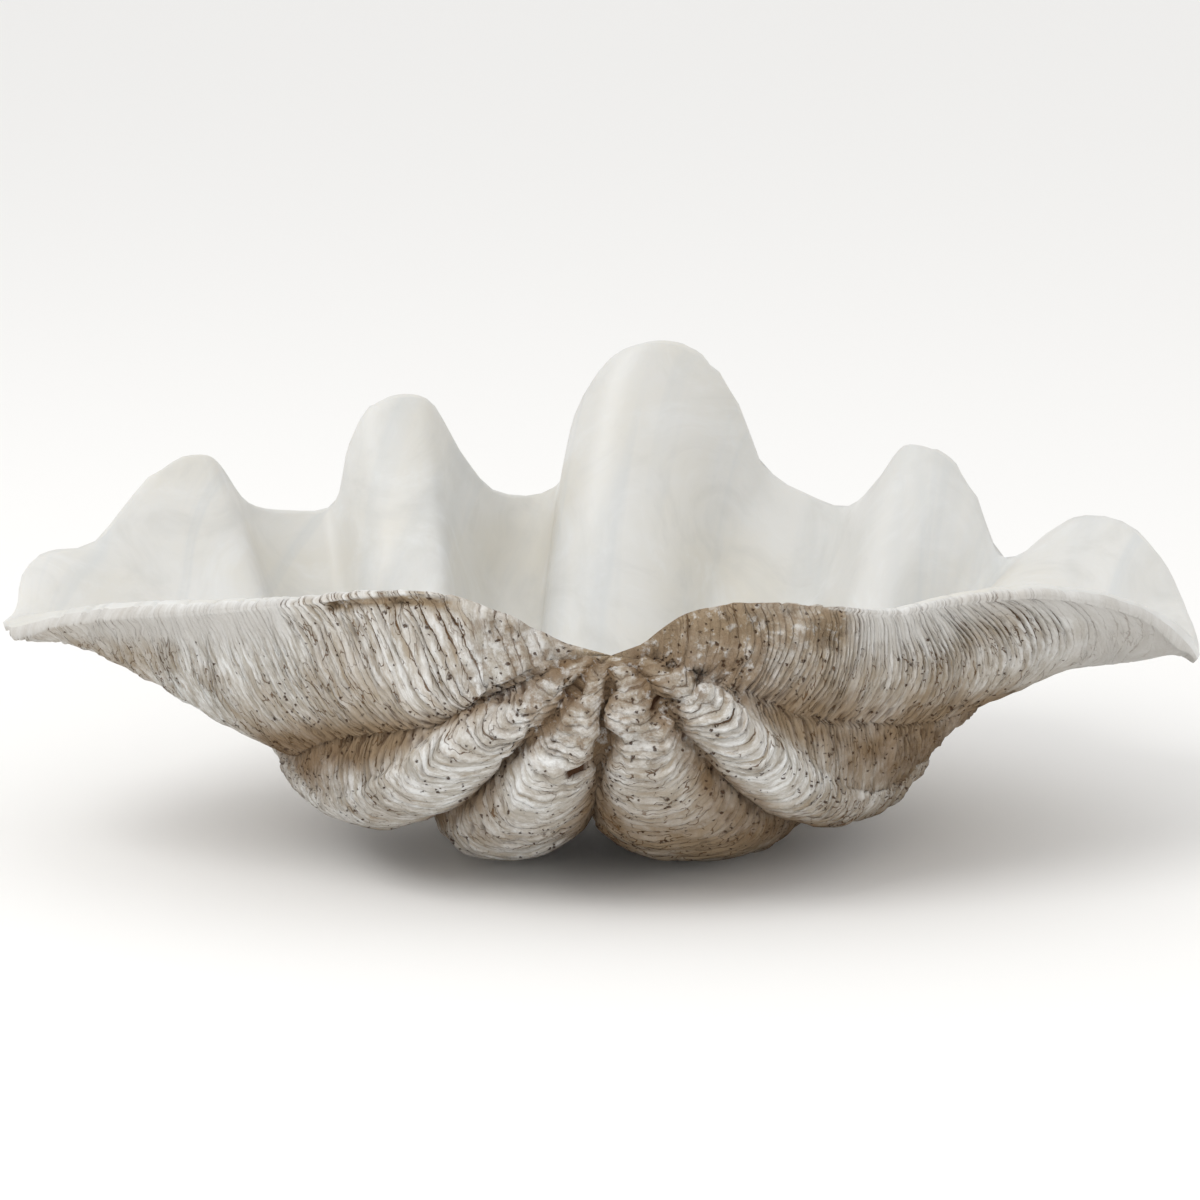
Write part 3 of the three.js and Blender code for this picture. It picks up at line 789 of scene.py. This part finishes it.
ragged_number = add(t, "Math", {0: ragged_number, 1: RAGGED_LINES / 2}, operation="SUBTRACT")
line_share = add(t, "Math", {0: ragged_number}, operation="FRACT")
to_line = add(t, "Math", {0: line_share, 1: 0.5}, operation="SUBTRACT")
to_line = add(t, "Math", {0: to_line}, operation="ABSOLUTE")  # 0.5 on the line, 0 between lines
ragged_growth = add(t, "CombineXYZ", {"X": split.outputs["X"], "Y": ragged_number})
print("growth coordinates ready")


# %% Outside: streaked fields
def streaks_along(tree, vector, per_mm, per_line, detail=5.0, roughness=0.62):
    """Random field stretched along the growth lines: so many lumps to a millimetre, so many to a layer."""
    space = add(tree, "Mapping", {"Vector": vector, "Scale": (per_mm, per_line, 1.0)})
    return add(tree, "TexNoise", lumps_of(space, 1.0, detail, roughness), noise_dimensions="2D")


fibres = streaks_along(t, ragged_growth, 0.07, 2.8)
breaks = streaks_along(t, growth, 0.07, 0.9, 4.0)
rubbed = streaks_along(t, ragged_growth, 0.045, 0.8, 6.0, 0.7)
crack_field = streaks_along(t, ragged_growth, 0.05, 1.0, 2.0, 0.5)
BLOTCH, CLUSTER, GRAIN = 17.0, 24.0, 430.0  # to a metre: one each 59, 42 and 2.3 mm
JITTER = (0.007, 0.007, 0.007)              # metres by which the borings are shaken out of line
blotches = add(t, "TexNoise", lumps_of(position, BLOTCH, 7.0, 0.66))
clusters = add(t, "TexNoise", lumps_of(position, CLUSTER, 2.0))
grain = add(t, "TexNoise", lumps_of(position, GRAIN, 5.0, 0.65))
jittered = add(t, "VectorMath", {0: ragged.outputs["Color"], 1: JITTER, 2: position}, **TIMES_PLUS)
print("pattern fields ready")

# %% [markdown]
# A seam is dark where a layer ends, as wide as the field `breaks` lets it be, and gone where the layer is
# weak. Cracks are the places where a streaked field passes through one half, which gives thin lines that
# run mostly along the layers and close up at their ends.

# %% Outside: seams and cracks
seam_from = add(t, "MapRange", stretch(breaks, 0.32, 0.7, 0.49, 0.35))
seam_to = add(t, "Math", {0: seam_from, 1: 0.06}, operation="ADD")
seam = add(t, "MapRange", stretch(to_line, seam_from, seam_to), **SOFT_STEP)
seam = add(t, "Math", {0: seam, 1: attribute["strength"]}, **PRODUCT)
off_half = add(t, "Math", {0: crack_field, 1: 0.5}, operation="SUBTRACT")
off_half = add(t, "Math", {0: off_half}, operation="ABSOLUTE")
crack = add(t, "MapRange", stretch(off_half, 0.016, 0.004), **SOFT_STEP)
crack_place = add(t, "MapRange", stretch(blotches, 0.42, 0.56))
crack = add(t, "Math", {0: crack, 1: crack_place}, operation="MULTIPLY")
crack = add(t, "Math", {0: crack, 1: attribute["strength"]}, **PRODUCT)
# painted shade down the back of each layer, where it slopes into the foot of the next
back_shade = add(t, "MapRange", stretch(line_share, 0.4, 1.0), **SOFT_STEP)
back_shade = add(t, "Math", {0: back_shade, 1: attribute["strength"]}, **PRODUCT)
print("seams ready")


# %% Outside: borings
def borings(tree, per_metre, share, radius, gate):
    """Round dark dots: a cell pattern of this many cells to a metre, kept in a share of the cells where the
    gate is open; the radius is counted in cells."""
    cells = add(tree, "TexVoronoi", {"Vector": jittered, "Scale": per_metre, "Randomness": 1.0})
    pick = add(tree, "SeparateXYZ", {0: cells.outputs["Color"]})
    chance = add(tree, "Math", {0: gate, 1: share}, operation="MULTIPLY")
    kept = add(tree, "Math", {0: pick.outputs["X"], 1: chance}, operation="LESS_THAN")
    wide = add(tree, "Math", {0: pick.outputs["Y"], 1: radius * 0.6, 2: radius * 0.6}, **TIMES_PLUS)
    inner_edge = add(tree, "Math", {0: wide, 1: 0.55}, operation="MULTIPLY")
    core = add(tree, "MapRange", stretch(cells.outputs["Distance"], wide, inner_edge))
    return add(tree, "Math", {0: core, 1: kept}, operation="MULTIPLY")


cluster_gate = add(t, "MapRange", stretch(clusters, 0.42, 0.62, 0.12))
cluster_gate = add(t, "Math", {0: cluster_gate, 1: attribute["bored"]}, operation="MULTIPLY")
small_borings = borings(t, 330.0, 0.62, 0.36, cluster_gate)
large_borings = borings(t, 210.0, 0.26, 0.27, cluster_gate)
boring = add(t, "Math", {0: small_borings, 1: large_borings}, operation="MAXIMUM")
dark = add(t, "Math", {0: boring, 1: attribute["pit"]}, operation="MAXIMUM")
print("borings ready")

# %% [markdown]
# The colours lie over each other: bone and chalk first, then silt in the stained places together with the
# painted shade under the shell and on the low right flanks, a deeper brown that paints more shade low down
# and darkens the grooves and the crust, soil on the crust, the calm grey wear, painted shade down the back
# of each layer, and last the dark lines and holes. Each has an amount from 0 to 1, a field stretched between
# two of its values, often times an attribute.

# %% Outside: where the stains and the painted shade lie
chalk_amount = add(t, "MapRange", stretch(rubbed, 0.40, 0.60))
stain_edge = add(t, "MapRange", stretch(blotches, 0.34, 0.66, -0.34, 0.5))
# silt stain with the painted shade under the shell and on the low right flanks, its edge broken by blotches
stained_and_shaded = add(t, "Math", {0: attribute["stain_and_shade"], 1: 0.85, 2: stain_edge}, use_clamp=True, **TIMES_PLUS)
# painted shade: a deeper brown where borings gather, low under the shell, along the grooves and on the crust
deep_shade_and_silt = add(t, "MapRange", stretch(attribute["bored"], 0.5, 1.0, most=0.62))
knobbly = add(t, "MapRange", stretch(ragged, 0.52, 0.38, most=0.75))
scuffed = add(t, "MapRange", stretch(ragged, 0.54, 0.66, most=0.55))
fibrous = add(t, "MapRange", stretch(fibres, 0.47, 0.72, most=0.42))
print("stains ready")

# %% Outside: colour
washes = (
    (stained_and_shaded, 1.0, SILT_AND_SHADE_BROWN), (deep_shade_and_silt, stained_and_shaded, SEAM_AND_SHADE_BROWN),
    (knobbly, attribute["crust"], SOIL), (scuffed, attribute["crust"], CHALK),
    (fibrous, attribute["strength"], SILT_AND_SHADE_BROWN), (back_shade, 0.3, SILT_AND_SHADE_BROWN), (attribute["calm"], 0.85, CALM_GREY),
    (seam, 0.88, SEAM_AND_SHADE_BROWN), (crack, 0.8, SEAM_AND_SHADE_BROWN), (attribute["edge"], 0.75, CHALK), (dark, 0.88, BORING))
ground = add(t, "Mix", {0: chalk_amount, 6: colour(BONE), 7: colour(CHALK)}, data_type="RGBA").outputs[2]
for field, share, code in washes:
    amount = add(t, "Math", {0: field, 1: share}, **PRODUCT)
    ground = add(t, "Mix", {0: amount, 6: ground, 7: colour(code)}, data_type="RGBA").outputs[2]
print("outside colour of", len(washes), "washes ready")

# %% Outside: bump and shader
crust_depth = add(t, "Math", {0: attribute["crust"], 1: 6.0, 2: 0.9}, **TIMES_PLUS)
fine = grain
for field, depth in ((fibres, 0.9), (ragged, crust_depth), (seam, -1.2), (crack, -1.2), (boring, -2.4)):
    fine = add(t, "Math", {0: field, 1: depth, 2: fine}, **TIMES_PLUS)
bump = add(t, "Bump", {"Height": fine, "Strength": 0.9, "Distance": 0.0007})
roughness = add(t, "MapRange", stretch(rubbed, 0.3, 0.7, 0.92, 0.7))
surface = add(t, "BsdfPrincipled", {"Base Color": ground, "Roughness": roughness, "Normal": bump,
                                    "Specular IOR Level": 0.3})
add(t, "OutputMaterial", {"Surface": surface})
shell_mesh.materials.append(outside_material)
print(outside_material.name, len(t.nodes), "nodes")

# %% [markdown]
# ### Porcelain lining
# The inside is dense and white, smooth enough to shine softly. Its tone clouds from cool grey to cream with
# soft veins, and faint streaks run from the lip down to the umbo, the way the mantle laid it. Light enters
# it a little, so a small amount of subsurface scattering rounds off its shadows.

# %% Lining: streaks and clouds
PORCELAIN, COOL_STREAK, CREAM, RIM_SILT = "#d1d0cc", "#b9bec1", "#cdc8bb", "#6f5840"
VEIN, GLEAM = "#bcbbb6", "#dcdddc"
lining_material, t = new_material("porcelain_lining")
growth = add(t, "UVMap", uv_map="growth")
position = add(t, "TexCoord").outputs["Object"]
CLOUD, MOTTLE, VEINED = 9.0, 60.0, 15.0  # to a metre: one each 111, 17 and 67 mm
STREAKED = (0.022, 0.03, 1.0)            # one each 45 mm across, long down the shell
streak_space = add(t, "Mapping", {"Vector": growth, "Scale": STREAKED})
streaks = add(t, "TexNoise", lumps_of(streak_space, 1.0, 3.0, 0.5, 0.8), noise_dimensions="2D")
cloud = add(t, "TexNoise", lumps_of(position, CLOUD, 5.0, 0.55))
mottle = add(t, "TexNoise", lumps_of(position, MOTTLE, 5.0, 0.6))
veins = add(t, "TexNoise", lumps_of(position, VEINED, 8.0, 0.62, 1.4))
cream_amount = add(t, "MapRange", stretch(cloud, 0.45, 0.68, most=0.6))
cool_amount = add(t, "MapRange", stretch(streaks, 0.5, 0.8, most=0.5))
vein_amount = add(t, "MapRange", stretch(veins, 0.5, 0.72, most=0.55))
gleam_amount = add(t, "MapRange", stretch(veins, 0.46, 0.3, most=0.5))
print("lining fields ready")

# %% Lining: rim stains and colour
rim_stain = add(t, "Attribute", attribute_name="stain_and_shade").outputs["Fac"]
rim_edge = add(t, "MapRange", stretch(mottle, 0.38, 0.62, -0.35, 0.35))
rim_sum = add(t, "Math", {0: rim_stain, 1: rim_edge}, **SUM)
rim_gate = add(t, "Math", {0: rim_sum, 1: rim_stain}, **PRODUCT)
tints = ((cream_amount, CREAM), (cool_amount, COOL_STREAK), (vein_amount, VEIN), (gleam_amount, GLEAM),
         (rim_gate, RIM_SILT))
tone = colour(PORCELAIN)
for amount, code in tints:
    tone = add(t, "Mix", {0: amount, 6: tone, 7: colour(code)}, data_type="RGBA").outputs[2]
print("lining tone ready")

# %% Lining: gloss and shader
polish = add(t, "MapRange", stretch(streaks, 0.3, 0.7, 0.34, 0.48))
gloss = add(t, "Math", {0: polish, 1: rim_gate}, **SUM)
lining_bump = add(t, "Bump", {"Height": mottle, "Strength": 0.12, "Distance": 0.0008})
surface = add(t, "BsdfPrincipled", {"Base Color": tone, "Roughness": gloss, "Normal": lining_bump,
                                    "Subsurface Weight": 0.12, "Subsurface Radius": (1.0, 0.8, 0.6),
                                    "Subsurface Scale": 0.004})
add(t, "OutputMaterial", {"Surface": surface})
shell_mesh.materials.append(lining_material)
print(lining_material.name, len(t.nodes), "nodes")

# %% [markdown]
# ## Stage, light and camera
# The shell stands on a plain pale floor that runs far behind it. The light is one large soft box above and
# to the left, a weaker one at the right, and an even white sky that fills the shadows.

# %% Floor
FLOOR, FLOOR_REACH, FLOOR_DROP = "#f2f1ef", 40, 0.0005  # colour; metres each way; metres under the shell
corners = np.array([(-1, -1, 0), (1, -1, 0), (1, 1, 0), (-1, 1, 0)]) * FLOOR_REACH
floor_mesh = bpy.data.meshes.new("floor")
floor_mesh.from_pydata(corners.tolist(), [], [(0, 1, 2, 3)])
floor_material, t = new_material("pale_floor")
floor_surface = add(t, "BsdfPrincipled", {"Base Color": colour(FLOOR), "Roughness": 0.9})
add(t, "OutputMaterial", {"Surface": floor_surface})
floor_mesh.materials.append(floor_material)
floor = bpy.data.objects.new("floor", floor_mesh)
floor.location.z = -FLOOR_DROP
bpy.context.scene.collection.objects.link(floor)
print("floor at", floor.location.z)

# %% Lights
SKY, SKY_STRENGTH = "#ffffff", 0.95
scene = bpy.context.scene
world = bpy.data.worlds.new("even_sky")
world.use_nodes = True
sky = world.node_tree.nodes["Background"]
sky.inputs["Color"].default_value = colour(SKY)
sky.inputs["Strength"].default_value = SKY_STRENGTH
scene.world = world


def soft_box(name, place, target, size, power):
    """A square area light at a place, facing a target, with its side in metres and its power in watts."""
    data = bpy.data.lights.new(name, "AREA")
    data.shape, data.size, data.energy = "SQUARE", size, power
    light = bpy.data.objects.new(name, data)
    light.location = place
    light.rotation_euler = (Vector(target) - Vector(place)).to_track_quat("-Z", "Y").to_euler()
    scene.collection.objects.link(light)
    return light


soft_box("key", (-1.5, -1.2, 2.3), (0, 0, 0.1), 1.6, 30)
soft_box("fill", (2.2, -1.8, 1.2), (0, 0, 0.1), 1.8, 6)

# %% Camera
ELEVATION, DISTANCE = np.radians(12), 2.5  # angle above the floor; metres from the target
TARGET = np.array([-0.0022, 0.0128, 0.1295])
LENS, SENSOR = 128.3, 36  # mm
camera_data = bpy.data.cameras.new("camera")
camera_data.lens, camera_data.sensor_width = LENS, SENSOR
camera = bpy.data.objects.new("camera", camera_data)
camera.location = TARGET + DISTANCE * np.array([0, -np.cos(ELEVATION), np.sin(ELEVATION)])
camera.rotation_euler = (np.pi / 2 - ELEVATION, 0, 0)
scene.collection.objects.link(camera)
scene.camera = camera
scene.view_settings.view_transform = "Standard"
print("camera", tuple(round(v, 3) for v in camera.location))
